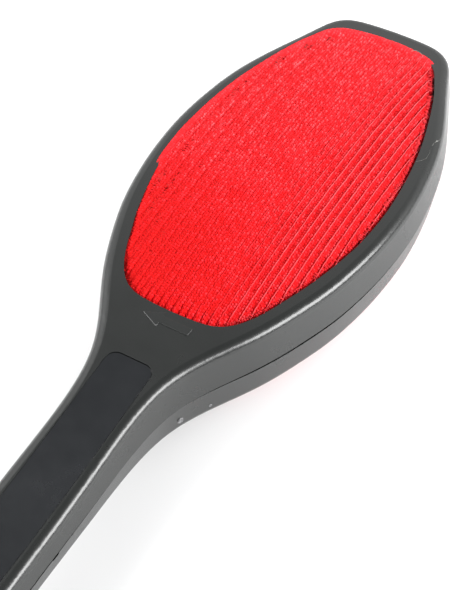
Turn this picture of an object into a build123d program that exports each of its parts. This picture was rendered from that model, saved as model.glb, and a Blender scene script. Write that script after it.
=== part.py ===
from build123d import *
import os
from math import dist, hypot, sqrt

# Double-sided velour clothes brush: two drafted half shells that meet on a
# mid-height parting plane, a crowned fabric pad in a window on each face, and
# an inset panel on each side of the grip.
#
# Frame: mm, +Y from the grip towards the head end, +Z out of the upper pad,
# origin at the centre of the overall box, on the parting plane.
# Places along Y are given as stations; adding Y0 turns them into frame Y.
# The upper half is modelled; a half turn about Y gives the lower one.

# Half shells
RIM_Z = 12.6              # head rim above the parting plane
GRIP_Z = 8.0              # grip face above the parting plane
WALL = 2.2
EDGE_R = 3.0              # round on the outer top edge
DRAFT = 0.13              # side wall draft, mm per mm
DRAFT_Z = 9.4             # height at which HALF_OUTLINE is true size
FLOOR_Z = -1.0            # start of cuts that must pass the parting plane
BLANK_Z = 16.0            # top of shell blanks, above every face

# Hanging hole
HOLE_R = 3.5
HOLE_Y = -160.5
HOLE_EDGE = 0.8           # round on its rim
HOLE_WALL = 2.4           # wall of the boss around it

# Cross ribs in the grip
RIB_Y = (-70.0, -116.0)
RIB_T = 1.2
RIB_LENGTH = 40.0         # before trimming to the body
RIB_Z = 0.4               # lower edge

# Locating pegs on both sides of the centre line: (x, station, boss radius, peg radius)
PEGS = [(8.2, -26.5, 2.6, 1.3), (11.0, 126.9, 1.7, 0.9)]
PEG_DEPTH = 3.0           # reach below the parting plane
SOCKET_DEPTH = 3.6
SOCKET_GAP = 0.12         # radial

# Screws, driven from the lower half
SCREW_PITCH = 46.0
SCREW_Y = [-SCREW_PITCH * n for n in (1, 2, 3)]
SCREW_BOSS_R = 4.0
SCREW_SEAT = -5.4         # underside of the heads
SCREW_HEAD_R = 2.5
SCREW_HEAD_H = 1.4
SCREW_HEAD_EDGE = 0.4
SCREW_R = 1.25
SCREW_SHANK_TOP = 4.2
SCREW_TIP_R = 0.3
SCREW_TIP_H = 0.7
PILOT_GAP = 0.05          # radial, threads in the upper half
PILOT_TOP = 5.2
CLEARANCE_GAP = 0.25      # radial, shank in the lower half
HEAD_GAP = 0.2            # radial, head in its bore
CROSS_LENGTH = 3.0        # cross slot in the head
CROSS_WIDTH = 0.6
CROSS_DEPTH = 0.8

# Raised arrow on the neck face, pointing to -X: (x, offset from ARROW_Y)
ARROW_Y = -16.7
ARROW = [(-6.6, 0.0), (-0.8, -2.7), (-0.55, -1.3), (8.7, -1.3),
         (8.7, 1.3), (-0.55, 1.3), (-0.8, 2.7)]
ARROW_RISE = 0.12         # above the rim
ARROW_ROOT = 1.2          # below the rim, sunk in the wall
ARROW_EDGE = 0.14

# Notch under the parting plane on the grip's +X edge: low corner and size
NOTCH_CORNER = (9.9, -89.0, -0.9)
NOTCH_SIZE = (2.2, 2.6, 0.9)

# Pad stack
PAD_RX = 100.0            # crown radius across
PAD_RY = 350.0            # crown radius along
PAD_YC = 51.0             # station of the crown's highest point
PAD_RISE = 6.0            # crown above the rim
CROWN_SPAN = 90.0         # half length of the crown solid
PAD_BLANK_Z = 30.0        # top of pad and window blanks
PILE_T = 2.4              # fabric with pile
FOAM_T = 1.5
PLATE_T = 2.0
WINDOW_GAP = 0.4          # air between pad edge and window edge
WINDOW_Z = 2.0            # start of the window cut
FLANGE = 2.6              # width of the flange under the rim
FLANGE_DROP = WALL + 0.15 # flange top below the shell face
FABRIC_FLANGE_T = 0.75    # fabric turned under the rim
FLANGE_SIDE_GAP = 0.3     # flange to the inside of the side wall
LAYER_GAP = 0.03          # air between layers
PLATE_DROP = FLANGE_DROP + FABRIC_FLANGE_T + LAYER_GAP
LEG_X = 14.0              # carrier legs, on both sides
LEG_Y = (20.0, 86.0)
LEG_R = 3.0
LEG_FOOT_Z = 0.05

# Grip panels
INLAY_HALF = 7.3          # half width of the recess
INLAY_Y = (-150.0, -31.7) # stations of its ends
INLAY_R = 3.4             # corner radius
INLAY_DEPTH = 0.8
INLAY_BLANK_Z = 25.0
INLAY_GAP = 0.14          # gap around the panel
INLAY_END_GAP = 0.32      # gap at its head end
INLAY_SINK = 0.06         # panel below the grip face
FILM_T = 0.1              # adhesive film
FILM_INSET = 0.6          # film edge inside the recess edge

# Relief of each shell at the parting plane: (station, height)
HEAD_RELIEF = [
    (-33.0, 0.0), (-21.0, 0.15), (-9.0, 0.34), (8.0, 0.37), (20.0, 0.34),
    (34.0, 0.2), (48.0, 0.07), (62.0, 0.02), (145.0, 0.02)]
GRIP_RELIEF = [(-58.0, 0.0), (-77.0, 0.14), (-94.0, 0.28), (-110.0, 0.32), (-190.0, 0.32)]

# Side wall at DRAFT_Z, grip end to head end: (half width, station)
HALF_OUTLINE = [
    (0.0, -173.6), (4.2, -173.0), (8.0, -170.4), (10.6, -166.0), (11.9, -160.0),
    (12.2, -152.0), (11.7, -140.0), (11.0, -125.0), (10.55, -110.0), (10.4, -92.0),
    (10.45, -75.0), (10.35, -62.0), (10.45, -52.0), (11.5, -40.0), (13.55, -32.0),
    (16.6, -25.0), (20.7, -17.5), (25.0, -10.0), (28.6, -2.6), (31.7, 5.0),
    (34.5, 12.6), (36.7, 20.0), (38.3, 27.5), (39.6, 35.5), (40.45, 44.0),
    (40.85, 53.0), (40.6, 62.0), (39.5, 72.1), (37.6, 83.1), (34.3, 94.6),
    (30.35, 104.7), (26.75, 113.3), (24.35, 119.3), (22.6, 123.4), (20.1, 127.0),
    (16.3, 129.45), (11.3, 130.55), (5.6, 130.98), (0.0, 131.1)]

# Fabric pad where it passes the rim: (half width, station)
HALF_PAD = [
    (0.0, -12.4), (6.8, -12.15), (11.5, -11.6), (15.0, -10.2), (17.8, -7.9), (20.3, -4.6),
    (23.2, 0.9), (25.9, 8.1), (28.2, 14.1), (29.9, 19.8), (31.3, 25.0), (32.4, 29.8),
    (33.3, 34.5), (34.0, 40.0), (34.5, 47.0), (34.6, 53.0), (34.4, 58.5), (33.9, 65.0),
    (33.1, 72.0), (31.6, 81.0), (30.3, 86.8), (28.8, 92.5), (26.8, 99.4), (24.2, 107.0),
    (21.4, 113.2), (19.6, 116.9), (17.4, 119.6), (14.4, 121.4), (10.6, 122.4), (5.6, 123.1),
    (0.0, 123.35)]

# Shell face in side view: (station, height); level towards the grip end
SIDE = [
    (-104.0, GRIP_Z), (-86.0, 8.30), (-70.0, 9.05), (-50.0, 10.55), (-36.0, 11.75),
    (-20.0, 12.42), (-2.0, RIM_Z), (20.0, RIM_Z), (50.0, 12.4), (80.0, 11.95),
    (105.0, 11.35), (131.0, 10.55), (150.0, 9.95)]
SIDE_START = (0.0, 1.0, 0.0)       # face direction at the first station
SIDE_END = (0.0, 1.0, -0.032)      # and at the last
SIDE_GRIP_Y = -190.0               # station where the level part stops, past the grip end
SIDE_BASE_Z = -5.0
CUT_HALF_X = 60.0                  # half width of cutting solids, wider than the head

Y0 = -(HALF_OUTLINE[0][1] + HALF_OUTLINE[-1][1]) / 2   # centres the outline on the origin
SAMPLES_PER_SPAN = 5
RING_STEP = 4                      # every fourth sample carries the spline


# Outlines: lists of (half width, station)
def blend(start, end, t_start, t_end, t):
    return tuple(start[j] * (t_end - t) / (t_end - t_start)
                 + end[j] * (t - t_start) / (t_end - t_start) for j in (0, 1))


def sample(points):
    """Centripetal Catmull-Rom through the points, mirrored at both ends, then smoothed."""
    padded = [(-points[1][0], points[1][1])] + points + [(-points[-2][0], points[-2][1])]
    out = []
    for a, b, c, d in zip(padded, padded[1:], padded[2:], padded[3:]):
        t0 = 0.0
        t1 = t0 + sqrt(dist(a, b))
        t2 = t1 + sqrt(dist(b, c))
        t3 = t2 + sqrt(dist(c, d))
        for k in range(SAMPLES_PER_SPAN):
            t = t1 + (t2 - t1) * k / SAMPLES_PER_SPAN
            ab = blend(a, b, t0, t1, t)
            bc = blend(b, c, t1, t2, t)
            cd = blend(c, d, t2, t3, t)
            abc = blend(ab, bc, t0, t2, t)
            bcd = blend(bc, cd, t1, t3, t)
            out.append(blend(abc, bcd, t1, t2, t))
    out.append(points[-1])
    for _ in range(2):
        middle = [tuple(0.25 * p[j] + 0.5 * q[j] + 0.25 * r[j] for j in (0, 1))
                  for p, q, r in zip(out, out[1:], out[2:])]
        out = [out[0]] + middle + [out[-1]]
    return out


def grow(outline, offset):
    """Offset along the normal; the end points stay on the centre line."""
    out = []
    last = len(outline) - 1
    for i, (x, y) in enumerate(outline):
        if i == 0:
            tx, ty = 1.0, 0.0
        elif i == last:
            tx, ty = -1.0, 0.0
        else:
            tx = outline[i + 1][0] - outline[i - 1][0]
            ty = outline[i + 1][1] - outline[i - 1][1]
        length = hypot(tx, ty)
        out.append((x + offset * ty / length, y - offset * tx / length))
    return out


def ring(outline, z):
    """Closed wire: one spline up the +X side, one back down the -X side."""
    knots = outline[:-1][::RING_STEP] + [outline[-1]]
    plus_x = [Vector(x, y + Y0, z) for x, y in knots]
    minus_x = [Vector(-x, y + Y0, z) for x, y in reversed(knots)]
    out, back = Vector(1, 0, 0), Vector(-1, 0, 0)
    return Wire([Edge.make_spline(plus_x, tangents=[out, back], scale=False),
                 Edge.make_spline(minus_x, tangents=[back, out], scale=False)])


# Solids shared by several pieces
def prism(outline, z=0.0):
    return Solid.extrude(Face(ring(outline, z)), Vector(0, 0, PAD_BLANK_Z - z))


def drafted(offset, z_low, z_high):
    """The shell outline, offset, with the draft of the side wall."""
    rings = [ring(grow(OUTLINE, offset + DRAFT * (DRAFT_Z - z)), z) for z in (z_low, z_high)]
    return Solid.make_loft(rings, ruled=True)


def under(drop):
    """Everything below the shell face lowered by drop."""
    side = [Vector(0, y + Y0, z - drop) for y, z in SIDE]
    first, last = side[0], side[-1]
    top = Edge.make_spline(side, tangents=[Vector(*SIDE_START), Vector(*SIDE_END)], scale=False)
    grip_y = SIDE_GRIP_Y + Y0
    corners = [last, Vector(0, last.Y, SIDE_BASE_Z), Vector(0, grip_y, SIDE_BASE_Z),
               Vector(0, grip_y, first.Z), first]
    lines = [Edge.make_line(p, q) for p, q in zip(corners, corners[1:])]
    block = Solid.extrude(Face(Wire([top] + lines)), Vector(2 * CUT_HALF_X, 0, 0))
    return block.moved(Location((-CUT_HALF_X, 0, 0)))


def crown(lower):
    """The pad crown, lowered: a solid of revolution about an axis parallel to Y."""
    rx, ry = PAD_RX - lower, PAD_RY - lower
    axis_z = RIM_Z + PAD_RISE - PAD_RX
    yc = PAD_YC + Y0
    sag = ry - sqrt(ry * ry - CROWN_SPAN * CROWN_SPAN)
    top_z = axis_z + rx
    y_low, y_high = yc - CROWN_SPAN, yc + CROWN_SPAN
    arc = Edge.make_three_point_arc(Vector(0, y_low, top_z - sag), Vector(0, yc, top_z),
                                    Vector(0, y_high, top_z - sag))
    a, b = Vector(0, y_high, axis_z), Vector(0, y_low, axis_z)
    wire = Wire([arc, Edge.make_line(arc @ 1, a), Edge.make_line(a, b), Edge.make_line(b, arc @ 0)])
    return Solid.revolve(Face(wire), 360, Axis((0, yc, axis_z), (0, 1, 0)))


def cylinder(x, y, radius, z_low, z_high):
    base = Plane(origin=(x, y + Y0, z_low), z_dir=(0, 0, 1))
    return Solid.make_cylinder(radius, z_high - z_low, base)


def box(corner, size):
    x, y, z = corner
    return Solid.make_box(*size).moved(Location((x, y + Y0, z)))


def inlay_block(inset, head_inset):
    """Rounded block over the grip recess, inset all round and at the head end."""
    half = INLAY_HALF - inset
    y_low, y_high = INLAY_Y[0] + inset, INLAY_Y[1] - head_inset
    block = box((-half, y_low, 0.0), (2 * half, y_high - y_low, INLAY_BLANK_Z))
    return block.fillet(INLAY_R - inset, block.edges().filter_by(Axis.Z))


def one(shape):
    solids = shape.solids()
    assert len(solids) == 1, "expected one solid, got %d" % len(solids)
    return solids[0]


def flip(shape):
    return shape.rotate(Axis((0, 0, 0), (0, 1, 0)), 180)


OUTLINE = sample(HALF_OUTLINE)
PAD = sample(HALF_PAD)
PAD_INNER = grow(PAD, -PILE_T + 0.2)      # inside of the fabric's side


# Half shells
def top_border(body):
    """Edges that belong to only one of the top faces."""
    found = {}
    for face in body.faces():
        if face.normal_at().Z <= 0.9:
            continue
        for edge in face.edges():
            c = edge.center()
            key = tuple(round(v, 3) for v in (c.X, c.Y, c.Z, edge.length))
            found.setdefault(key, []).append(edge)
    return [edges[0] for edges in found.values() if len(edges) == 1]


def arrow():
    top = RIM_Z + ARROW_RISE
    root = RIM_Z - ARROW_ROOT
    corners = [Vector(x, ARROW_Y + y + Y0, root) for x, y in ARROW]
    block = Solid.extrude(Face(Wire.make_polygon(corners, close=True)), Vector(0, 0, top - root))
    return one(block.fillet(ARROW_EDGE,
                            [e for e in block.edges() if abs(e.center().Z - top) < 1e-6]))


def relief(stations):
    base_z = -0.5
    top = [Vector(-CUT_HALF_X, y + Y0, z) for y, z in stations]
    base = [Vector(-CUT_HALF_X, stations[i][0] + Y0, base_z) for i in (-1, 0)]
    return Solid.extrude(Face(Wire.make_polygon(top + base, close=True)),
                         Vector(2 * CUT_HALF_X, 0, 0))


def half_shell():
    """What both shells share, as the upper one."""
    body = one(drafted(0.0, 0.0, BLANK_Z).intersect(under(0.0)))
    body = one(body.fillet(EDGE_R, top_border(body)))
    shell = one(body - drafted(-WALL, FLOOR_Z, BLANK_Z).intersect(under(WALL)))

    # bosses and ribs, trimmed to the body
    bosses = [(0, y, SCREW_BOSS_R) for y in SCREW_Y]
    bosses += [(side * x, y, boss_r) for x, y, boss_r, _ in PEGS for side in (1, -1)]
    bosses.append((0, HOLE_Y, HOLE_R + HOLE_WALL))
    for x, y, radius in bosses:
        shell = shell + (cylinder(x, y, radius, 0, BLANK_Z) & body)
    for y in RIB_Y:
        rib = box((-RIB_LENGTH / 2, y - RIB_T / 2, RIB_Z), (RIB_LENGTH, RIB_T, 20))
        shell = shell + (rib & body)

    # pad window and hanging hole
    shell = shell - prism(grow(PAD, WINDOW_GAP), WINDOW_Z)
    shell = one(shell - cylinder(0, HOLE_Y, HOLE_R, -2, 20))
    hole_edges = [e for e in shell.edges().filter_by(GeomType.CIRCLE)
                  if abs(e.radius - HOLE_R) < 1e-3 and abs(e.center().Z - GRIP_Z) < 0.05]
    shell = one(shell.fillet(HOLE_EDGE, hole_edges))

    shell = shell - (inlay_block(0.0, 0.0) - under(INLAY_DEPTH))
    shell = one(shell + arrow())

    # relief is cut only in a band that follows the side wall
    band = drafted(2.0, -1.0, 2.0) - drafted(-1.5, -2.0, 3.0)
    for stations in (HEAD_RELIEF, GRIP_RELIEF):
        shell = shell - (band & relief(stations))
    return one(shell)


def shells():
    """Upper shell with pilot holes and pegs, lower with screw bores, sockets and notch."""
    upper = half_shell()
    lower = flip(upper)
    for y in SCREW_Y:
        upper = upper - cylinder(0, y, SCREW_R + PILOT_GAP, -1.0, PILOT_TOP)
        lower = lower - cylinder(0, y, SCREW_R + CLEARANCE_GAP, -BLANK_Z, 1.0)
        lower = lower - cylinder(0, y, SCREW_HEAD_R + HEAD_GAP, -BLANK_Z, SCREW_SEAT)
    for x, y, _, peg_r in PEGS:
        for side in (1, -1):
            upper = upper + cylinder(side * x, y, peg_r, -PEG_DEPTH, 1.0)
            lower = lower - cylinder(side * x, y, peg_r + SOCKET_GAP, -SOCKET_DEPTH, 1.0)
    lower = lower - box(NOTCH_CORNER, NOTCH_SIZE)
    return one(upper), one(lower)


# Pad stack
def flange_room():
    """Space in which the flanges stay clear of the side wall."""
    return drafted(-WALL - FLANGE_SIDE_GAP, FLOOR_Z, BLANK_Z)


def pad_fabric():
    fabric = ((prism(PAD) & crown(0.0)) +
              (prism(grow(PAD, FLANGE)) & under(FLANGE_DROP) & flange_room()))
    fabric = fabric - under(FLANGE_DROP + FABRIC_FLANGE_T)
    fabric = fabric - (prism(PAD_INNER) & crown(PILE_T))
    return one(fabric - (prism(PAD_INNER) & under(FLANGE_DROP)))


def pad_foam():
    foam = prism(grow(PAD_INNER, -0.1)) & crown(PILE_T + LAYER_GAP)
    foam = foam - crown(PILE_T + FOAM_T)
    foam = foam - under(FLANGE_DROP + FABRIC_FLANGE_T)
    return max(foam.solids(), key=lambda s: s.volume)


def pad_plate():
    """Carrier plate: a flanged, hollowed crown on four legs."""
    foam_base = PILE_T + FOAM_T
    plate = ((prism(grow(PAD_INNER, -0.15)) & crown(foam_base + LAYER_GAP)) +
             (prism(grow(PAD, FLANGE - 0.1)) & under(PLATE_DROP) & flange_room()))
    plate = plate - under(PLATE_DROP + PLATE_T)
    plate = plate - (prism(grow(PAD_INNER, -2.2)) & crown(foam_base + PLATE_T))
    for y in LEG_Y:
        for x in (LEG_X, -LEG_X):
            leg = cylinder(x, y, LEG_R, LEG_FOOT_Z, PAD_BLANK_Z)
            plate = plate + (leg & crown(foam_base + 1.0))
    return one(plate)


# Grip panels
def grip_inlay():
    panel = inlay_block(INLAY_GAP, INLAY_END_GAP)
    return one((panel & under(INLAY_SINK)) - under(INLAY_DEPTH - FILM_T - 0.01))


def inlay_adhesive():
    film = inlay_block(FILM_INSET, FILM_INSET)
    return one((film & under(INLAY_DEPTH - FILM_T)) - under(INLAY_DEPTH - 0.005))


# Screws
def screw(y):
    head_z = SCREW_SEAT - SCREW_HEAD_H
    body = cylinder(0, y, SCREW_HEAD_R, head_z, SCREW_SEAT - 0.01)
    body = body.fillet(SCREW_HEAD_EDGE,
                       [e for e in body.edges() if abs(e.center().Z - head_z) < 1e-6])
    body = body + cylinder(0, y, SCREW_R, SCREW_SEAT - 0.5, SCREW_SHANK_TOP)
    body = body + Solid.make_cone(SCREW_R, SCREW_TIP_R, SCREW_TIP_H,
                                  Plane(origin=(0, y + Y0, SCREW_SHANK_TOP), z_dir=(0, 0, 1)))
    overcut = 0.5
    for dx, dy in ((CROSS_LENGTH, CROSS_WIDTH), (CROSS_WIDTH, CROSS_LENGTH)):
        body = body - box((-dx / 2, y - dy / 2, head_z - overcut),
                          (dx, dy, CROSS_DEPTH + overcut))
    return one(body)


upper_shell, lower_shell = shells()
nodes = {
    "upper_shell": upper_shell,
    "lower_shell": lower_shell,
    "shell_screws": Compound(children=[screw(y) for y in SCREW_Y]),
}
for name, make in (("pad_fabric", pad_fabric), ("pad_foam", pad_foam), ("pad_plate", pad_plate),
                   ("grip_inlay", grip_inlay), ("inlay_adhesive", inlay_adhesive)):
    piece = make()
    nodes["upper_" + name] = piece
    nodes["lower_" + name] = flip(piece)

os.makedirs("parts", exist_ok=True)
for name, shape in nodes.items():
    export_step(shape, "parts/%s.step" % name)
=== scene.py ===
import math

import bpy
import numpy as np
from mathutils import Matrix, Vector

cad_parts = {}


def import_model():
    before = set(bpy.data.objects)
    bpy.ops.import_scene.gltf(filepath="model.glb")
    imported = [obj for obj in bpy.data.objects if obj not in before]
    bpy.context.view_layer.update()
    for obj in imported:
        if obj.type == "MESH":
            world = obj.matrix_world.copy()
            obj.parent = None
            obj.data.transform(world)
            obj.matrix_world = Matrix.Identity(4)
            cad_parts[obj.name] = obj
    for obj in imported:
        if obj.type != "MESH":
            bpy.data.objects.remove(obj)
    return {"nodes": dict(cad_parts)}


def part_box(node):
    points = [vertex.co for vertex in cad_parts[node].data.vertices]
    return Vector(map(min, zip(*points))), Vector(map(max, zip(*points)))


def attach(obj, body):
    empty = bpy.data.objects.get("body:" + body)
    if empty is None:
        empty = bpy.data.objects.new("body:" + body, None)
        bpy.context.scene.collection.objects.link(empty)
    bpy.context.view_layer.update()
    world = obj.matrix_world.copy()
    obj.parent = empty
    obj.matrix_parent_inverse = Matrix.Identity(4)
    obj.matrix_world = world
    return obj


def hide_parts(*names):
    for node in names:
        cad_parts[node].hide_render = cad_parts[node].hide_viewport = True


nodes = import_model()["nodes"]
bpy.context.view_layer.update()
MM = 0.001
BODY = "root"

# ------------------------------------------------------------------ dimensions, mm
STATION_SHIFT = 21.25          # from the tables' stations to the CAD's Y
RIM_Z = 12.6                   # highest part of the shell's top face
APEX_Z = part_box("upper_pad_fabric")[1].z / MM
CROWN_RX, CROWN_RY = 100.0, 350.0        # crown radii across and along the pad
CROWN_Y = 51.0 + STATION_SHIFT           # station of the crown's top
PILE = 2.4                     # depth of the pile below the crown surface
WINDOW_DEPTH = 2.3             # how far the backing's edge sits below the rim

# Right half of the pad outline, from the -Y end to the +Y end: (x, station)
HALF_PAD = [
    (0.0, -12.4), (6.8, -12.15), (11.5, -11.6), (15.0, -10.2), (17.8, -7.9), (20.3, -4.6),
    (23.2, 0.9), (25.9, 8.1), (28.2, 14.1), (29.9, 19.8), (31.3, 25.0), (32.4, 29.8),
    (33.3, 34.5), (34.0, 40.0), (34.5, 47.0), (34.6, 53.0), (34.4, 58.5), (33.9, 65.0),
    (33.1, 72.0), (31.6, 81.0), (30.3, 86.8), (28.8, 92.5), (26.8, 99.4), (24.2, 107.0),
    (21.4, 113.2), (19.6, 116.9), (17.4, 119.6), (14.4, 121.4), (10.6, 122.4), (5.6, 123.1),
    (0.0, 123.35)]

# The shell's top face seen from the side: (station, height)
RIM_PROFILE = np.array([
    (-180.0, 8.0), (-104.0, 8.0), (-86.0, 8.30), (-70.0, 9.05), (-50.0, 10.55),
    (-36.0, 11.75), (-20.0, 12.42), (-2.0, 12.6), (20.0, 12.6), (50.0, 12.4),
    (80.0, 11.95), (105.0, 11.35), (131.0, 10.55)])


# ------------------------------------------------------------------ curves and noise
def catmull_rom(points, steps):
    """Smooth path through all but the first and last of the points."""
    path = []
    for a, b, c, d in zip(points, points[1:], points[2:], points[3:]):
        for step in range(steps):
            t = step / steps
            path.append(0.5 * ((2 * b) + (c - a) * t + (2 * a - 5 * b + 4 * c - d) * t * t
                               + (3 * b - a - 3 * c + d) * t ** 3))
    return path + [points[-2]]


def smooth_outline(half, steps=8, passes=5):
    """Closed outline from its right half: from the -Y end up the +X side, back down the -X side."""
    half = np.array(half)
    mirror = np.array([-1, 1])
    right = np.array(catmull_rom(np.vstack([half[1] * mirror, half, half[-2] * mirror]), steps))
    for _ in range(passes):
        right[1:-1] = 0.25 * right[:-2] + 0.5 * right[1:-1] + 0.25 * right[2:]
    right[:, 1] += STATION_SHIFT
    return np.vstack([right, right[::-1][1:-1] * mirror])


def hash01(*keys):
    """Repeatable noise in 0..1 from up to four numbers or arrays."""
    total = np.zeros(np.broadcast(*keys).shape, np.float64)
    for key, weight in zip(keys, (12.9898, 78.233, 37.719, 93.989)):
        total = total + np.asarray(key, np.float64) * weight
    total = np.sin(total) * 43758.5453
    return total - np.floor(total)


def wave_noise(x, y, seed, scale):
    """Smooth value noise in 0..1; scale is the size of a cell."""
    x, y = np.asarray(x) / scale, np.asarray(y) / scale
    xi, yi = np.floor(x), np.floor(y)
    fx, fy = x - xi, y - yi
    fx, fy = fx * fx * (3 - 2 * fx), fy * fy * (3 - 2 * fy)
    a, b = hash01(xi, yi, seed), hash01(xi + 1, yi, seed)
    c, d = hash01(xi, yi + 1, seed), hash01(xi + 1, yi + 1, seed)
    return (a * (1 - fx) + b * fx) * (1 - fy) + (c * (1 - fx) + d * fx) * fy


def fade(distance, reach):
    """1 at no distance, falling to 0 at reach."""
    return 1 - np.clip(distance / reach, 0, 1)


# ------------------------------------------------------------------ the pad's surfaces
OUTLINE = smooth_outline(HALF_PAD)
PAD_START, PAD_END = OUTLINE[:, 1].min(), OUTLINE[:, 1].max()
EDGES = np.roll(OUTLINE, -1, 0) - OUTLINE
EDGE_SQUARES = (EDGES ** 2).sum(1)
EDGE_LENGTHS = np.sqrt(EDGE_SQUARES)
PERIMETER = EDGE_LENGTHS.sum()
EDGE_STARTS = np.concatenate([[0], np.cumsum(EDGE_LENGTHS)])


def rim_z(y):
    """Height of the shell's top face at y."""
    return np.interp(y, RIM_PROFILE[:, 0] + STATION_SHIFT, RIM_PROFILE[:, 1])


def crown_z(x, y, drop=0.0):
    """Height of the pad's crown surface, lowered by drop."""
    ry, rx = CROWN_RY - drop, CROWN_RX - drop
    radius = np.sqrt(np.maximum(ry * ry - (y - CROWN_Y) ** 2, 1.0)) - ry + rx
    return APEX_Z - CROWN_RX + np.sqrt(np.maximum(radius * radius - x * x, 1.0))


def crown_normal(x, y):
    e = 0.05
    dx = (crown_z(x + e, y) - crown_z(x - e, y)) / (2 * e)
    dy = (crown_z(x, y + e) - crown_z(x, y - e)) / (2 * e)
    normal = np.stack([-dx, -dy, np.ones_like(dx)], -1)
    return normal / np.linalg.norm(normal, axis=-1, keepdims=True)


def signed_distance(points, batch=4000):
    """Distance inside the outline (outside is negative), nearest outline point, outward normal."""
    inside = np.empty(len(points))
    nearest = np.empty((len(points), 2))
    outward = np.empty((len(points), 2))
    for start in range(0, len(points), batch):
        part = points[start:start + batch]
        t = ((part[:, None, :] - OUTLINE[None]) * EDGES[None]).sum(2) / EDGE_SQUARES[None]
        t = np.clip(t, 0, 1)
        foot = OUTLINE[None] + EDGES[None] * t[..., None]
        squares = ((part[:, None, :] - foot) ** 2).sum(2)
        edge = squares.argmin(1)
        row = np.arange(len(part))
        normal = np.stack([EDGES[edge, 1], -EDGES[edge, 0]], 1) / EDGE_LENGTHS[edge][:, None]
        side = ((foot[row, edge] - part) * normal).sum(1)
        done = slice(start, start + batch)
        inside[done] = np.sqrt(squares[row, edge]) * np.sign(side + 1e-12)
        nearest[done] = foot[row, edge]
        outward[done] = normal
    return inside, nearest, outward


def outline_at(distance):
    """Point and outward normal at a distance along the outline."""
    distance = distance % PERIMETER
    found = np.searchsorted(EDGE_STARTS, distance, side="right") - 1
    edge = int(np.clip(found, 0, len(OUTLINE) - 1))
    t = (distance - EDGE_STARTS[edge]) / EDGE_LENGTHS[edge]
    along = EDGES[edge] / EDGE_LENGTHS[edge]
    return OUTLINE[edge] + EDGES[edge] * t, np.array([along[1], -along[0]])


# ------------------------------------------------------------------ mesh builders
def make_mesh(name, verts, faces, smooth=True):
    """Object from vertices in mm and a list of faces."""
    mesh = bpy.data.meshes.new(name)
    verts = np.asarray(verts, np.float32)
    mesh.vertices.add(len(verts))
    mesh.vertices.foreach_set("co", (verts * MM).ravel())
    sizes = np.array([len(face) for face in faces], np.int32)
    corners = np.concatenate(faces).astype(np.int32)
    starts = np.concatenate([[0], np.cumsum(sizes)[:-1]]).astype(np.int32)
    mesh.loops.add(len(corners))
    mesh.loops.foreach_set("vertex_index", corners)
    mesh.polygons.add(len(sizes))
    mesh.polygons.foreach_set("loop_start", starts)
    mesh.polygons.foreach_set("loop_total", sizes)
    mesh.update(calc_edges=True)
    mesh.validate()
    if smooth:
        mesh.polygons.foreach_set("use_smooth", np.ones(len(mesh.polygons), bool))
    ob = bpy.data.objects.new(name, mesh)
    bpy.context.scene.collection.objects.link(ob)
    return ob


def ring_faces(rings, count):
    """Quads joining successive rings of count vertices."""
    return [[r * count + s, r * count + (s + 1) % count,
             (r + 1) * count + (s + 1) % count, (r + 1) * count + s]
            for r in range(rings - 1) for s in range(count)]


def strand_mesh(name, paths, radii, sides=3):
    """Thin fibres that taper along their paths."""
    verts, faces, base = [], [], 0
    angle = np.arange(sides) * 2 * math.pi / sides
    cos, sin = np.cos(angle)[None, :, None], np.sin(angle)[None, :, None]
    for path, radius in zip(paths, radii):
        path = np.asarray(path, float)
        along = np.gradient(path, axis=0)
        along /= np.linalg.norm(along, axis=1, keepdims=True) + 1e-9
        u = np.cross(along, np.array([0.31, 0.2, 0.93]))
        u /= np.linalg.norm(u, axis=1, keepdims=True) + 1e-9
        w = np.cross(along, u)
        count = len(path)
        taper = radius * (1 - 0.7 * np.linspace(0, 1, count) ** 2)
        tube = path[:, None] + taper[:, None, None] * (cos * u[:, None] + sin * w[:, None])
        verts.append(tube.reshape(-1, 3))
        faces += [[base + v for v in face] for face in ring_faces(count, sides)]
        faces.append([base + s for s in range(sides)][::-1])
        faces.append([base + (count - 1) * sides + s for s in range(sides)])
        base += count * sides
    return make_mesh(name, np.vstack(verts), faces)


# ------------------------------------------------------------------ the ribbed pile
RIB_PITCH = 2.19
RIB_ANCHOR = 20.4              # x of one rib's centre
TUFT = 0.93                    # tuft spacing along a rib
TUFT_STEPS = 4                 # mesh rows to a tuft
TUFT_BULGE = np.array([0.0, 0.78, 1.0, 0.72])      # a tuft's fullness at each of those rows
END_MARGIN = 0.5               # ribs start this far beyond the outline
LOWEST_PILE = 1.32
PLAIN_EDGE = np.array([0.5, -0.866])     # the pile leans out over edges facing away from this

# One rib's cross-section from +X to -X. The pile leans to -X: two rows of short tufts,
# then a thin crest that closes the rib.
# (offset across, valley height, tuft height, row of tufts, tint: high on the tuft tops as painted
# sheen, low in the valleys as painted shade)
SECTION = [
    (1.25, 1.42, 1.42, 0, 0.22), (0.98, 1.52, 1.76, 0, 0.34), (0.62, 1.34, 2.04, 0, 0.78),
    (0.25, 1.36, 1.72, 0, 0.26), (-0.02, 1.32, 1.60, 1, 0.16), (-0.30, 1.36, 2.08, 1, 0.80),
    (-0.58, 1.44, 1.84, 1, 0.34), (-0.74, 1.60, 1.86, 2, 0.38), (-0.90, 1.98, 2.20, 2, 0.98),
    (-1.04, 1.72, 1.96, 2, 0.62), (-1.25, 1.42, 1.42, 2, 0.22)]
COLUMNS = len(SECTION)
CREST_ROW = 2
ROW_PHASE = (0, 2, 1)          # start of the tufts in each row, in mesh rows
# Where the ribs stand open: extra height and a painted highlight for the crest columns, and for all
# the others less height and painted shade
OPEN_LIFT, OPEN_HIGHLIGHT, OPEN_OTHERS_DROP_AND_SHADE = {8: 0.26, 9: 0.10}, {8: 0.42, 9: 0.10}, -0.12


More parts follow.
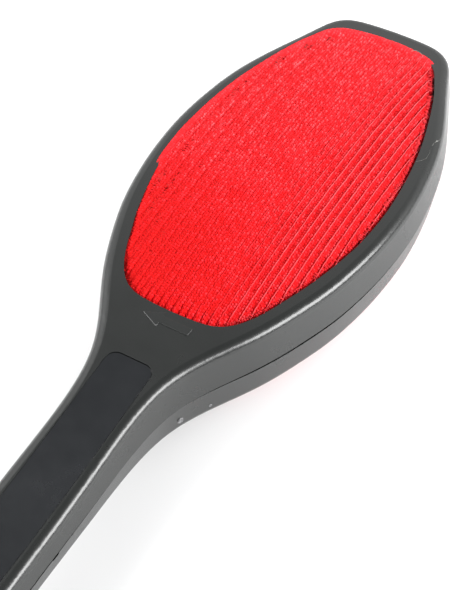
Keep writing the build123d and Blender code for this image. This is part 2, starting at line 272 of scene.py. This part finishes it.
def rib_grid(rib, centre_x, y):
    """One rib before it is laid on the pad: x, y, height and tint, each (station, column)."""
    row = np.arange(len(y))
    is_open = np.clip((centre_x - 5.0) / 14.0, 0, 1)     # ribs stand most open on the +X third
    # towards -X every other rib stands higher and paler
    alternate = np.clip((-centre_x - 8.0) / 10.0, 0, 1) * (0.10 if rib % 2 else -0.10)
    sway = (0.12 * (wave_noise(rib * 3.1, y, seed=3, scale=7.0) - 0.5)
            + 0.22 * (wave_noise(rib * 0.6, y, seed=7, scale=26.0) - 0.5))
    swell = 0.30 * (wave_noise(centre_x, y, seed=41, scale=5.0) - 0.5)
    grid = []
    for column, (offset, valley, top, tufts, tint) in enumerate(SECTION):
        free = 0.0 if column in (0, COLUMNS - 1) else 1.0      # the outer columns don't stray
        crest = tufts == CREST_ROW
        shift = ROW_PHASE[tufts] + int(TUFT_STEPS * hash01(rib, 77.0 + tufts))
        tuft, phase = divmod(row + shift, TUFT_STEPS)
        bulge = TUFT_BULGE[phase]
        # chances shared by a whole tuft, then by a single vertex
        full, tall, across, along = (hash01(rib + 60.0 * tufts, tuft, seed)
                                     for seed in (5.0, 11.0, 17.0, 23.0))
        jitter, jitter_x = (hash01(rib + 60.0 * column, row, seed) - 0.5
                            for seed in (31.0, 37.0))
        rise = bulge * (0.80 + 0.40 * full)
        if crest:                        # nearly continuous, and lower where the ribs are closed
            rise = 0.35 + 0.65 * rise
            top = top - 0.20 * (1 - is_open) * free
            valley = valley - 0.24 * (1 - is_open) * free
        height = valley + (top - valley) * rise
        height = height + free * ((tall - 0.5) * 0.26 + jitter * 0.10 + alternate + swell
                                  + OPEN_LIFT.get(column, OPEN_OTHERS_DROP_AND_SHADE) * is_open)
        x_spread = 0.10 if crest else 0.34
        x = (centre_x + free * sway + offset
             + free * ((across - 0.5) * x_spread + jitter_x * 0.05))
        # tint: paler on the tufts as painted sheen, varied at random from tuft to tuft; the crests
        # get a painted highlight on the +X third
        if crest:
            tint = tint * (0.45 + 0.55 * is_open) * (0.75 + 0.25 * bulge)
        else:
            tint = tint * (0.25 + 0.75 * bulge)
        tint_spread = 0.66 - 0.50 * is_open if crest else 0.66
        tint = tint + free * ((tall - 0.5) * tint_spread + alternate)
        grid.append((
            x,
            y + free * ((along - 0.5) * 0.30 + jitter * 0.08),
            np.maximum(height, LOWEST_PILE),
            np.clip(tint + is_open * OPEN_HIGHLIGHT.get(column, OPEN_OTHERS_DROP_AND_SHADE), 0, 1.5)))
    return [np.stack(values, 1) for values in zip(*grid)]


def lay_on_pad(rib, centre_x, x, y, height, tint):
    """Fit a rib to the outline and the crown: its points, tint and the rows that reach the pad."""
    shape = x.shape
    plan = np.column_stack([x.ravel(), y.ravel()])
    height, tint = height.ravel(), tint.ravel()
    inside, nearest, outward = signed_distance(plan)
    # 1 on the edges towards +Y and -X, where the pile leans out; 0 on those towards -Y and +X
    leaning = np.clip((-(outward * PLAIN_EDGE).sum(-1) + 0.1) / 0.5, 0, 1)
    plain = 1 - leaning
    reaches = ((inside + 0.5 * leaning).reshape(shape) > 0.0).any(1)

    # a ragged edge: how far in from the outline the pile stops
    ragged = hash01(rib, np.floor(plan[:, 1] / TUFT), 91.0)
    fullness = np.clip((height - 1.3) / 0.9, 0, 1)
    wander = wave_noise(plan[:, 0], plan[:, 1], seed=57, scale=2.3)
    scallop = np.clip(np.abs(plan[:, 0] - centre_x) / 1.1, 0, 1) ** 2.5 * plain ** 3
    inset = ((0.42 - 0.62 * fullness + 0.30 * ragged + 0.40 * wander + 0.75 * scallop) * plain
             + (0.14 * ragged - 0.50) * leaning)
    outside = inside < inset
    plan[outside] = nearest[outside] - outward[outside] * inset[outside][:, None]
    depth = np.maximum(inside - inset, 0.0)

    # the pile rolls down towards the edge
    near_edge = np.clip(1 - depth / (2.3 - 1.0 * leaning), 0, 1)
    roll = (1.15 - 0.95 * leaning) * (1 - np.sqrt(np.maximum(1 - near_edge * near_edge, 0)))
    height = height - 0.62 * scallop * plain * fade(depth, 5.0)
    height = height * (1 - 0.16 * plain * fade(depth, 0.8)) + 0.70 * leaning * fade(depth, 2.4)
    # an even brim along the leaning edges
    brim = leaning * fade(depth - 0.7, 1.3)
    brim_height = 2.30 + 0.36 * (ragged - 0.5) + 0.24 * (fullness - 0.5)
    height = height * (1 - brim) + brim_height * brim
    tint = tint + (0.46 - tint) * 0.55 * brim

    normal = crown_normal(plan[:, 0], plan[:, 1])
    normal[:, :2] += outward * (near_edge ** 2 * (0.45 - 0.2 * leaning))[:, None]
    normal /= np.linalg.norm(normal, axis=1, keepdims=True)
    foot_z = crown_z(plan[:, 0], plan[:, 1], PILE) - roll
    points = np.column_stack([plan, foot_z]) + normal * height[:, None]
    # where the pile leans over the rim it stays clear of it
    lowest = (rim_z(points[:, 1]) + 0.04 + 0.16 * fullness - 2.0 * plain
              - 0.35 * np.clip(depth - 0.8, 0, 9))
    gap = points[:, 2] - lowest
    points[:, 2] = 0.5 * (points[:, 2] + lowest + np.sqrt(gap ** 2 + 0.05))
    return points.reshape(*shape, 3), tint.reshape(shape), np.nonzero(reaches)[0]


def build_ribs(name, side):
    """All the ribs of one pad, with the point attribute "tip" for their tint."""
    step = TUFT / TUFT_STEPS
    start, end = PAD_START - END_MARGIN, PAD_END + END_MARGIN
    y = start + np.arange(int((end - start) / step) + 1) * step
    half_width = OUTLINE[:, 0].max() + 1.3
    centres = RIB_ANCHOR + np.arange(-40, 20) * RIB_PITCH
    centres = centres[(centres > -half_width) & (centres < half_width)]
    verts, tints, faces, caps, base = [], [], [], [], 0
    for rib, centre_x in enumerate(centres):
        grid = rib_grid(rib, centre_x, y)
        points, tint, reaching = lay_on_pad(rib, centre_x, *grid)
        if len(reaching) < 4:
            continue
        # the rows that reach the pad, and one more at each end
        first, last = max(reaching.min() - 1, 0), min(reaching.max() + 1, len(y) - 1)
        count = last - first + 1
        verts.append(points[first:last + 1].reshape(-1, 3))
        tints.append(tint[first:last + 1].ravel())
        row_start = base + np.arange(count - 1) * COLUMNS
        a = (row_start[:, None] + np.arange(COLUMNS - 1)[None]).ravel()
        faces.append(np.stack([a, a + COLUMNS, a + COLUMNS + 1, a + 1], 1))
        # the underside, from the last column back to the first
        faces.append(np.stack([row_start, row_start + COLUMNS - 1,
                               row_start + 2 * COLUMNS - 1, row_start + COLUMNS], 1))
        caps.append([base + c for c in range(COLUMNS)])
        caps.append([base + (count - 1) * COLUMNS + c for c in range(COLUMNS)][::-1])
        base += count * COLUMNS
    verts = np.vstack(verts) * (side, 1, side)
    ob = make_mesh(name, verts, np.vstack(faces).tolist() + caps)
    tone_and_painted_light = ob.data.attributes.new("tone_and_painted_light", "FLOAT", "POINT")
    tone_and_painted_light.data.foreach_set("value", np.concatenate(tints).astype(np.float32))
    return ob


# ------------------------------------------------------------------ backing
UNDER_LIFT, TOP_LIFT = 0.08, 0.5         # the sheet's two faces over the foot of the pile
# Rings of the top face, from the edge in: (share of the outline, lift over the foot of the pile)
TOP_RINGS = ((0.992, -1.7), (0.975, -0.3), (0.95, 0.35),
             (0.75, TOP_LIFT), (0.5, TOP_LIFT), (0.25, TOP_LIFT))


def build_backing(name, side):
    """The woven ground under the pile: a crowned sheet whose edge turns down into the window."""
    centre = np.array([0.0, CROWN_Y])
    outline = OUTLINE[::2]
    count = len(outline)

    def scaled(share):
        return centre + (outline - centre) * share

    def foot_z(xy):
        return crown_z(xy[:, 0], xy[:, 1], PILE)

    def crown_ring(share, lift):
        xy = scaled(share)
        return np.column_stack([xy, foot_z(xy) + lift])

    rings = [crown_ring(share, UNDER_LIFT) for share in (0.25, 0.5, 0.75)]
    lip = scaled(0.97)
    rings.append(np.column_stack([lip, rim_z(lip[:, 1]) - WINDOW_DEPTH]))
    edge = scaled(0.995)
    edge_z = np.minimum(rim_z(edge[:, 1]) - WINDOW_DEPTH, foot_z(edge) - 1.0)
    rings.append(np.column_stack([edge, edge_z]))
    rings += [crown_ring(share, lift) for share, lift in TOP_RINGS]
    middle_z = crown_z(0.0, CROWN_Y, PILE)
    middles = [(0, CROWN_Y, middle_z + TOP_LIFT), (0, CROWN_Y, middle_z + UNDER_LIFT)]

    faces = ring_faces(len(rings), count)
    top_middle = len(rings) * count
    last_ring = top_middle - count
    for s in range(count):
        t = (s + 1) % count
        faces.append([last_ring + s, last_ring + t, top_middle])
        faces.append([t, s, top_middle + 1])
    return make_mesh(name, np.vstack(rings + [middles]) * (side, 1, side), faces)


# ------------------------------------------------------------------ fringe
TOOTH_PITCH = 0.76
TOOTH_FIBRES = 5
FLYAWAYS = 420
FLYAWAY_RADIUS = 0.035
FLYAWAY_ARCH = ((0, -0.3), (0.35, 0.05), (0.7, 0.12), (1.0, 0.0))    # (share of length, lift)


def tooth_fibres():
    """Loose pile along the pad's +X edge, gathered into small teeth: (path, radius) each."""
    fibres = []
    teeth = int(PERIMETER / TOOTH_PITCH)
    for tooth in range(teeth):
        middle = (tooth + 0.5) * PERIMETER / teeth
        right = np.clip((outline_at(middle)[1][0] - 0.35) / 0.4, 0, 1)
        if hash01(tooth, 2.0) > 0.85 * right:
            continue
        reach = 0.9 + 1.0 * right * hash01(tooth, 4.0)
        tip_inset = 0.10 + 0.42 * hash01(tooth, 6.0)
        drop = 0.20 + 0.5 * hash01(tooth, 8.0)
        for f in range(TOOTH_FIBRES):
            h1, h2, h3 = (hash01(tooth, f, seed) for seed in (12.0, 14.0, 18.0))
            # roots stand further apart than tips
            root, root_out = outline_at(middle + (f - 2) * 0.13 + (h1 - 0.5) * 0.10)
            end, end_out = outline_at(middle + (f - 2) * 0.07 + (h2 - 0.5) * 0.08)
            inner = root - root_out * reach * (0.8 + 0.4 * h3)
            outer = end - end_out * (tip_inset + 0.15 * h1)
            halfway = inner * 0.5 + outer * 0.5
            late = inner * 0.2 + outer * 0.8
            inner_z = crown_z(*inner) - 0.75 - 0.1 * h2
            halfway_z = crown_z(*halfway) - 0.42 + 0.15 * h2
            outer_z = rim_z(end[1]) - drop + 0.25 * h3
            late_z = 0.55 * halfway_z + 0.45 * outer_z + 0.08
            path = [(*inner, inner_z), (*halfway, halfway_z), (*late, late_z), (*outer, outer_z)]
            fibres.append((path, 0.07 + 0.03 * h1))
    return fibres


def flyaway_fibres():
    """Short single fibres lying over the pile: (path, radius) each."""
    index = np.arange(FLYAWAYS)
    x = (hash01(index, 61.0) * 2 - 1) * 34.0
    y = PAD_START + hash01(index, 67.0) * (PAD_END - PAD_START)
    roots = np.stack([x, y], 1)
    inside = signed_distance(roots)[0]
    angles = hash01(index, 71.0) * 2 * math.pi
    fibres = []
    for i in range(FLYAWAYS):
        if inside[i] < 1.5:
            continue
        length = 0.7 + 0.9 * hash01(i, 73.0)
        heading = np.array([math.cos(angles[i]), math.sin(angles[i])])
        bend = np.array([-heading[1], heading[0]]) * 0.3 * length
        path = []
        for share, lift in FLYAWAY_ARCH:
            spot = roots[i] + heading * length * share + bend * share * share
            path.append((*spot, crown_z(*spot) - 0.15 + lift))
        fibres.append((path, FLYAWAY_RADIUS))
    return fibres


def build_fringe(name, side):
    paths, radii = zip(*(tooth_fibres() + flyaway_fibres()))
    return strand_mesh(name, [np.array(path) * (side, 1, side) for path in paths], radii)


# ------------------------------------------------------------------ shader nodes
class Shader:
    """Short calls for building a node tree; an input takes a value or another node's output."""

    def __init__(self, tree):
        self.tree = tree
        tree.nodes.clear()

    def feed(self, node, inputs):
        for key, value in inputs.items():
            if isinstance(value, bpy.types.NodeSocket):
                self.tree.links.new(value, node.inputs[key])
            else:
                node.inputs[key].default_value = value

    def node(self, kind, inputs={}):
        node = self.tree.nodes.new("ShaderNode" + kind)
        self.feed(node, inputs)
        return node

    def coords(self, kind="Object"):
        return self.node("TexCoord").outputs[kind]

    def split(self, vector):
        return self.node("SeparateXYZ", {0: vector}).outputs

    def noise(self, vector, scale, detail, roughness):
        return self.node("TexNoise", {"Scale": scale, "Detail": detail, "Roughness": roughness,
                                      "Vector": vector}).outputs["Fac"]

    def ramp(self, value, stops):
        """stops: (position, (r, g, b)) each."""
        node = self.node("ValToRGB", {0: value})
        elements = node.color_ramp.elements
        while len(elements) > 1:
            elements.remove(elements[0])
        elements[0].position, elements[0].color = stops[0][0], (*stops[0][1], 1)
        for position, colour in stops[1:]:
            elements.new(position).color = (*colour, 1)
        return node.outputs[0]

    def remap(self, value, source, result):
        return self.node("MapRange", {
            "From Min": source[0], "From Max": source[1],
            "To Min": result[0], "To Max": result[1], "Value": value}).outputs[0]

    def maths(self, operation, a, b):
        node = self.node("Math", {0: a, 1: b})
        node.operation = operation
        return node.outputs[0]

    def bump(self, height, strength, distance, normal=None):
        inputs = {"Strength": strength, "Distance": distance, "Height": height}
        if normal is not None:
            inputs["Normal"] = normal
        return self.node("Bump", inputs).outputs[0]

    def soft_edges(self, radius):
        """Normals rounded over hard edges, as on a moulded part."""
        node = self.node("Bevel", {"Radius": radius})
        node.samples = 6
        return node.outputs[0]


def new_material(name):
    material = bpy.data.materials.new(name)
    material.use_nodes = True
    shader = Shader(material.node_tree)
    output = shader.node("OutputMaterial")
    surface = shader.node("BsdfPrincipled")
    shader.feed(output, {0: surface.outputs[0]})
    return material, shader, surface


def scaled_colour(colour, factor):
    return tuple(min(c * factor, 1) for c in colour)


# ------------------------------------------------------------------ materials
def shell_material(name, base, rough):
    """Grained black plastic with smoother scuffs."""
    material, sh, surface = new_material(name)
    v = sh.coords()
    broad = sh.noise(v, scale=38.0, detail=5.0, roughness=0.6)
    fine = sh.noise(v, scale=2600.0, detail=2.0, roughness=0.6)
    middle = sh.noise(v, scale=420.0, detail=3.0, roughness=0.55)
    scuff = sh.noise(v, scale=150.0, detail=6.0, roughness=0.75)
    uneven = sh.remap(broad, (0.3, 0.7), (rough - 0.03, rough + 0.04))
    scuffed = sh.remap(scuff, (0.62, 0.75), (0.0, -0.07))
    normal = sh.bump(fine, strength=0.12, distance=0.00004, normal=sh.soft_edges(0.00007))
    sh.feed(surface, {
        "Base Color": sh.ramp(broad, [(0.3, scaled_colour(base, 0.93)),
                                      (0.7, scaled_colour(base, 1.07))]),
        "Roughness": sh.maths("ADD", uneven, scuffed),
        "Specular IOR Level": 0.62,
        "Normal": sh.bump(middle, strength=0.06, distance=0.00006, normal=normal)})
    return material


def inlay_material(name):
    """Smooth blue-black plastic."""
    material, sh, surface = new_material(name)
    v = sh.coords()
    smudge = sh.noise(v, scale=60.0, detail=6.0, roughness=0.65)
    fleck = sh.noise(v, scale=900.0, detail=3.0, roughness=0.6)
    sh.feed(surface, {
        "Base Color": sh.ramp(smudge, [(0.3, (0.0052, 0.0062, 0.0076)),
                                       (0.7, (0.0075, 0.0087, 0.0104))]),
        "Roughness": sh.remap(smudge, (0.35, 0.7), (0.22, 0.28)),
        "Normal": sh.bump(fleck, strength=0.06, distance=0.00003,
                          normal=sh.soft_edges(0.00010))})
    return material


# From the foot of the pile to its tips: (position, colour): the pile's own red, deepened below as
# painted shade and paled to pink at the tips as painted sheen
PILE_COLOURS = [(0.06, (0.62, 0.0, 0.0006)), (0.26, (0.69, 0.0020, 0.0056)),
                (0.54, (0.67, 0.014, 0.022)), (0.80, (0.69, 0.056, 0.068)),
                (1.0, (0.76, 0.135, 0.15))]


def fabric_material(name, tips=True):
    """Red pile, tinted by the "tip" attribute, or evenly for loose fibres."""
    material, sh, surface = new_material(name)
    v = sh.coords()
    stretched = sh.node("Mapping", {"Scale": (0.35, 1.0, 1.0), "Vector": v}).outputs[0]
    # fibres lie across the ribs
    fibre = sh.noise(stretched, scale=3600.0, detail=3.0, roughness=0.7)
    mottle = sh.noise(v, scale=120.0, detail=4.0, roughness=0.6)
    if tips:
        attribute = sh.node("Attribute")
        attribute.attribute_name = "tone_and_painted_light"
        tone_and_painted_light = attribute.outputs["Fac"]
    else:
        tone_and_painted_light = sh.node("Value").outputs[0]
        tone_and_painted_light.default_value = 0.55
    mix = sh.maths("ADD", sh.maths("MULTIPLY", tone_and_painted_light, 0.72), sh.maths("MULTIPLY", fibre, 0.30))
    mottling = sh.maths("MULTIPLY", sh.maths("SUBTRACT", mottle, 0.5), 0.30)
    mix = sh.maths("ADD", mix, mottling)
    # the pile is coloured deeper red towards the grip and towards -X, most of all near the grip on
    # the -X side; towards -X this is painted shade where the crown curves down
    xyz = sh.split(v)
    mix = sh.maths("ADD", mix, sh.remap(xyz["Y"], (0.005, 0.14), (-0.07, 0.06)))
    mix = sh.maths("ADD", mix, sh.remap(xyz["X"], (-0.034, 0.01), (0.0, 0.02)))
    start = PAD_START * MM
    corner_shade = sh.maths("MULTIPLY", sh.remap(xyz["X"], (-0.026, 0.018), (1.0, 0.0)),
                      sh.remap(xyz["Y"], (start + 0.012, start + 0.055), (1.0, 0.0)))
    mix = sh.maths("SUBTRACT", mix, sh.maths("MULTIPLY", corner_shade, 0.56))
    sh.feed(surface, {
        "Base Color": sh.ramp(mix, PILE_COLOURS),
        "Roughness": 0.8,
        "Specular IOR Level": 0.2,
        "Sheen Weight": 0.15,
        "Sheen Roughness": 0.5,
        "Sheen Tint": (1.0, 0.3, 0.3, 1),
        "Normal": sh.bump(fibre, strength=0.55, distance=0.00020)})
    return material


def plain_material(name, base, rough, metal=0.0, scale=500.0):
    """One colour, a little mottled and uneven."""
    material, sh, surface = new_material(name)
    mottle = sh.noise(sh.coords(), scale=scale, detail=4.0, roughness=0.6)
    sh.feed(surface, {
        "Base Color": sh.ramp(mottle, [(0.3, scaled_colour(base, 0.88)),
                                       (0.7, scaled_colour(base, 1.1))]),
        "Roughness": sh.remap(mottle, (0.3, 0.7), (rough - 0.05, rough + 0.05)),
        "Metallic": metal,
        "Normal": sh.bump(mottle, strength=0.2, distance=0.00006)})
    return material


SHELL = shell_material("shell_plastic", base=(0.0090, 0.0102, 0.0096), rough=0.255)
INLAY = inlay_material("grip_panel_plastic")
FABRIC = fabric_material("red_pile")
FIBRE = fabric_material("red_fibre", tips=False)
GROUND = plain_material("red_ground", base=(0.30, 0.001, 0.003), rough=0.9)
FOAM = plain_material("foam_underlay", base=(0.62, 0.58, 0.50), rough=0.9)
PLATE = plain_material("carrier_plastic", base=(0.10, 0.10, 0.10), rough=0.55)
FILM = plain_material("adhesive_film", base=(0.62, 0.58, 0.46), rough=0.5)
STEEL = plain_material("zinc_steel", base=(0.62, 0.62, 0.63), rough=0.32, metal=1.0, scale=900.0)


def paint(node, material):
    materials = nodes[node].data.materials
    materials.clear()
    materials.append(material)


for part, material in (("shell", SHELL), ("grip_inlay", INLAY), ("pad_foam", FOAM),
                       ("pad_plate", PLATE), ("inlay_adhesive", FILM)):
    for word in ("upper_", "lower_"):
        paint(word + part, material)
paint("shell_screws", STEEL)

# ------------------------------------------------------------------ fabric pads
for side, word in ((1, "upper"), (-1, "lower")):
    node = word + "_pad_fabric"
    ribs = build_ribs(word + "_pad_pile", side)
    ribs.data.materials.append(FABRIC)
    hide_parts(node)
    backing = build_backing(word + "_pad_backing", side)
    backing.data.materials.append(GROUND)
    fringe = build_fringe(word + "_pad_fringe", side)
    fringe.data.materials.append(FIBRE)
    for piece in (ribs, backing, fringe):
        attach(piece, BODY)

# ------------------------------------------------------------------ gate marks
# Rings of a gate mark, from the outside in: (share of radius, share of height)
GATE_RINGS = [(1.0, -0.15), (0.92, 0.55), (0.70, 1.0), (0.50, 0.55), (0.30, 0.15), (0.12, 0.30)]
GATE_SIDES = 18


def build_gate_mark(name, centre, normal, radius, height, seed):
    """The broken stub a mould gate leaves: a low irregular ring with a torn middle."""
    normal = Vector(normal).normalized()
    u = normal.cross(Vector((0, 0, 1))).normalized()
    w = normal.cross(u).normalized()
    centre = Vector(centre)
    verts = []
    for ring, (radius_share, height_share) in enumerate(GATE_RINGS):
        for s in range(GATE_SIDES):
            angle = 2 * math.pi * s / GATE_SIDES
            chance = float(hash01(s, ring, seed))
            reach = radius * radius_share * (0.88 + 0.24 * chance)
            rise = height * height_share
            if height_share > 0:
                rise *= 0.45 + 0.9 * chance
            verts.append(tuple(centre + u * (reach * math.cos(angle))
                               + w * (1.25 * reach * math.sin(angle)) + normal * rise))
    verts.append(tuple(centre + normal * height * 0.2))
    faces = ring_faces(len(GATE_RINGS), GATE_SIDES)
    middle = len(verts) - 1
    inner = middle - GATE_SIDES
    for s in range(GATE_SIDES):
        faces.append([inner + s, inner + (s + 1) % GATE_SIDES, middle])
    return make_mesh(name, verts, faces)


SCAR = plain_material("torn_plastic", base=(0.17, 0.17, 0.175), rough=0.26, scale=2200.0)
LINT = plain_material("pale_lint", base=(0.26, 0.26, 0.245), rough=0.7)
gate_marks = (
    build_gate_mark("gate_mark", centre=(14.05, -10.5, -6.6), normal=(0.93, -0.33, -0.13),
                    radius=1.05, height=0.42, seed=3.0),
    build_gate_mark("gate_mark_small", centre=(18.15, -1.2, -7.7), normal=(0.87, -0.48, -0.13),
                    radius=0.5, height=0.30, seed=8.0))
for mark in gate_marks:
    mark.data.materials.append(SCAR)
    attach(mark, BODY)

# ------------------------------------------------------------------ lint
# Threads of lint: (radius, points passed through)
THREADS = [
    (0.065, [(9.2, 143.5, 11.6), (9.74, 144.9, 11.1), (10.49, 145.3, 10.95),
             (11.48, 145.15, 10.93), (12.54, 144.45, 10.98), (13.47, 143.3, 11.15),
             (13.8, 142.4, 11.6)]),
    (0.034, [(34.33, 105.88, 11.93), (34.38, 107.24, 11.86), (34.7, 108.41, 11.66),
             (34.98, 109.8, 11.32), (35.0, 111.37, 10.9), (35.0, 113.53, 9.82),
             (34.3, 116.0, 7.9)]),
    (0.022, [(33.13, 96.97, 12.10), (33.82, 97.64, 12.10), (34.5, 98.34, 12.09),
             (35.02, 99.37, 12.07), (35.2, 101.14, 12.02), (34.86, 103.3, 11.98),
             (34.55, 104.69, 11.95)]),
    (0.10, [(34.45, 108.1, 11.75), (34.75, 108.45, 11.85), (34.9, 108.9, 11.7),
            (34.6, 108.9, 11.8), (34.55, 108.3, 11.85)])]


def thread(points, steps=26):
    """A smooth path of roughly steps pieces through the points."""
    ends_doubled = np.array([points[0], *points, points[-1]])
    return catmull_rom(ends_doubled, steps // (len(points) - 1) + 1)


lint = strand_mesh("lint", [thread(points) for _, points in THREADS],
                   [radius for radius, _ in THREADS], sides=5)
lint.data.materials.append(LINT)
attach(lint, BODY)

# ------------------------------------------------------------------ table
FLOOR_Z = -APEX_Z - 0.05
FLOOR_HALF = 1600.0


def table_material():
    """White, with painted shade: a little darker far out towards +X and where X + Y is small, a
    falloff of light painted into the colour.
    """
    material, sh, surface = new_material("white_table")
    v = sh.coords()
    xyz = sh.split(v)
    mottle = sh.noise(v, scale=9.0, detail=3.0, roughness=0.5)
    shade = sh.maths("MULTIPLY", sh.remap(xyz["X"], (0.30, 0.75), (1.0, 0.92)),
                     sh.remap(mottle, (0.3, 0.7), (0.985, 1.0)))
    diagonal = sh.maths("ADD", xyz["X"], xyz["Y"])
    shade = sh.maths("MULTIPLY", shade, sh.remap(diagonal, (-0.03, 0.09), (0.86, 1.0)))
    sh.feed(surface, {
        "Base Color": sh.ramp(shade, [(0.0, (0.0, 0.0, 0.0)), (1.0, (0.96, 0.96, 0.962))]),
        "Roughness": 0.55})
    return material


floor_corners = [(x * FLOOR_HALF, y * FLOOR_HALF, FLOOR_Z)
                 for x, y in ((-1, -1), (1, -1), (1, 1), (-1, 1))]
floor = make_mesh("floor", floor_corners, [[0, 1, 2, 3]], smooth=False)
floor.data.materials.append(table_material())

# ------------------------------------------------------------------ world and lights
# The room's brightness, from the horizon to overhead: (height of direction, colour)
SKY = [(0.0, (0.95, 0.95, 0.95)), (0.45, (1.25, 1.25, 1.25)), (0.60, (1.30, 1.30, 1.30)),
       (0.70, (0.80, 0.80, 0.80)), (0.78, (0.50, 0.50, 0.50)), (0.88, (0.38, 0.38, 0.385)),
       (1.0, (0.30, 0.30, 0.305))]


def build_world():
    world = bpy.data.worlds.new("studio")
    bpy.context.scene.world = world
    world.use_nodes = True
    sh = Shader(world.node_tree)
    output = sh.node("OutputWorld")
    background = sh.node("Background")
    direction = sh.split(sh.coords("Generated"))
    # the +X side of the room is dim near the horizon
    dim = sh.maths("MULTIPLY", sh.remap(direction["X"], (0.25, 0.75), (0.0, 0.72)),
                   sh.remap(direction["Z"], (0.04, 0.22), (1.0, 0.0)))
    sh.feed(background, {"Color": sh.ramp(direction["Z"], SKY),
                         "Strength": sh.maths("SUBTRACT", 1.0, dim)})
    sh.feed(output, {0: background.outputs[0]})


def softbox(name, position, width, height, power):
    """Rectangular light aimed at the pad."""
    light = bpy.data.lights.new(name, "AREA")
    light.shape = "RECTANGLE"
    light.size, light.size_y = width, height
    light.energy = power
    ob = bpy.data.objects.new(name, light)
    bpy.context.scene.collection.objects.link(ob)
    ob.location = position
    aim = Vector((0, 0.03, 0)) - Vector(position)
    ob.rotation_euler = aim.to_track_quat("-Z", "Y").to_euler()


build_world()
softbox("key", position=(0.52, 0.14, 0.27), width=0.44, height=0.24, power=5.2)
softbox("main", position=(-0.85, -0.25, 0.75), width=0.95, height=0.95, power=17.0)

# ------------------------------------------------------------------ camera
AZIMUTH = math.radians(30.03)            # from -Y towards +X
ELEVATION = math.radians(49.186)
DISTANCE = 0.42105
TARGET = Vector((0.013022, 0.001566 + STATION_SHIFT * MM, RIM_Z * MM))

back = Vector((math.sin(AZIMUTH) * math.cos(ELEVATION),
               -math.cos(AZIMUTH) * math.cos(ELEVATION), math.sin(ELEVATION)))
camera_data = bpy.data.cameras.new("camera")
camera_data.sensor_width = 36.0
camera_data.lens = 91.525424
camera_data.clip_start = 0.01
camera_data.clip_end = 20
camera = bpy.data.objects.new("camera", camera_data)
scene = bpy.context.scene
scene.collection.objects.link(camera)
camera.location = TARGET + back * DISTANCE
camera.rotation_euler = (-back).to_track_quat("-Z", "Y").to_euler()
scene.camera = camera
scene.view_settings.view_transform = "Standard"
scene.view_settings.look = "None"
scene.view_settings.exposure = 0.0
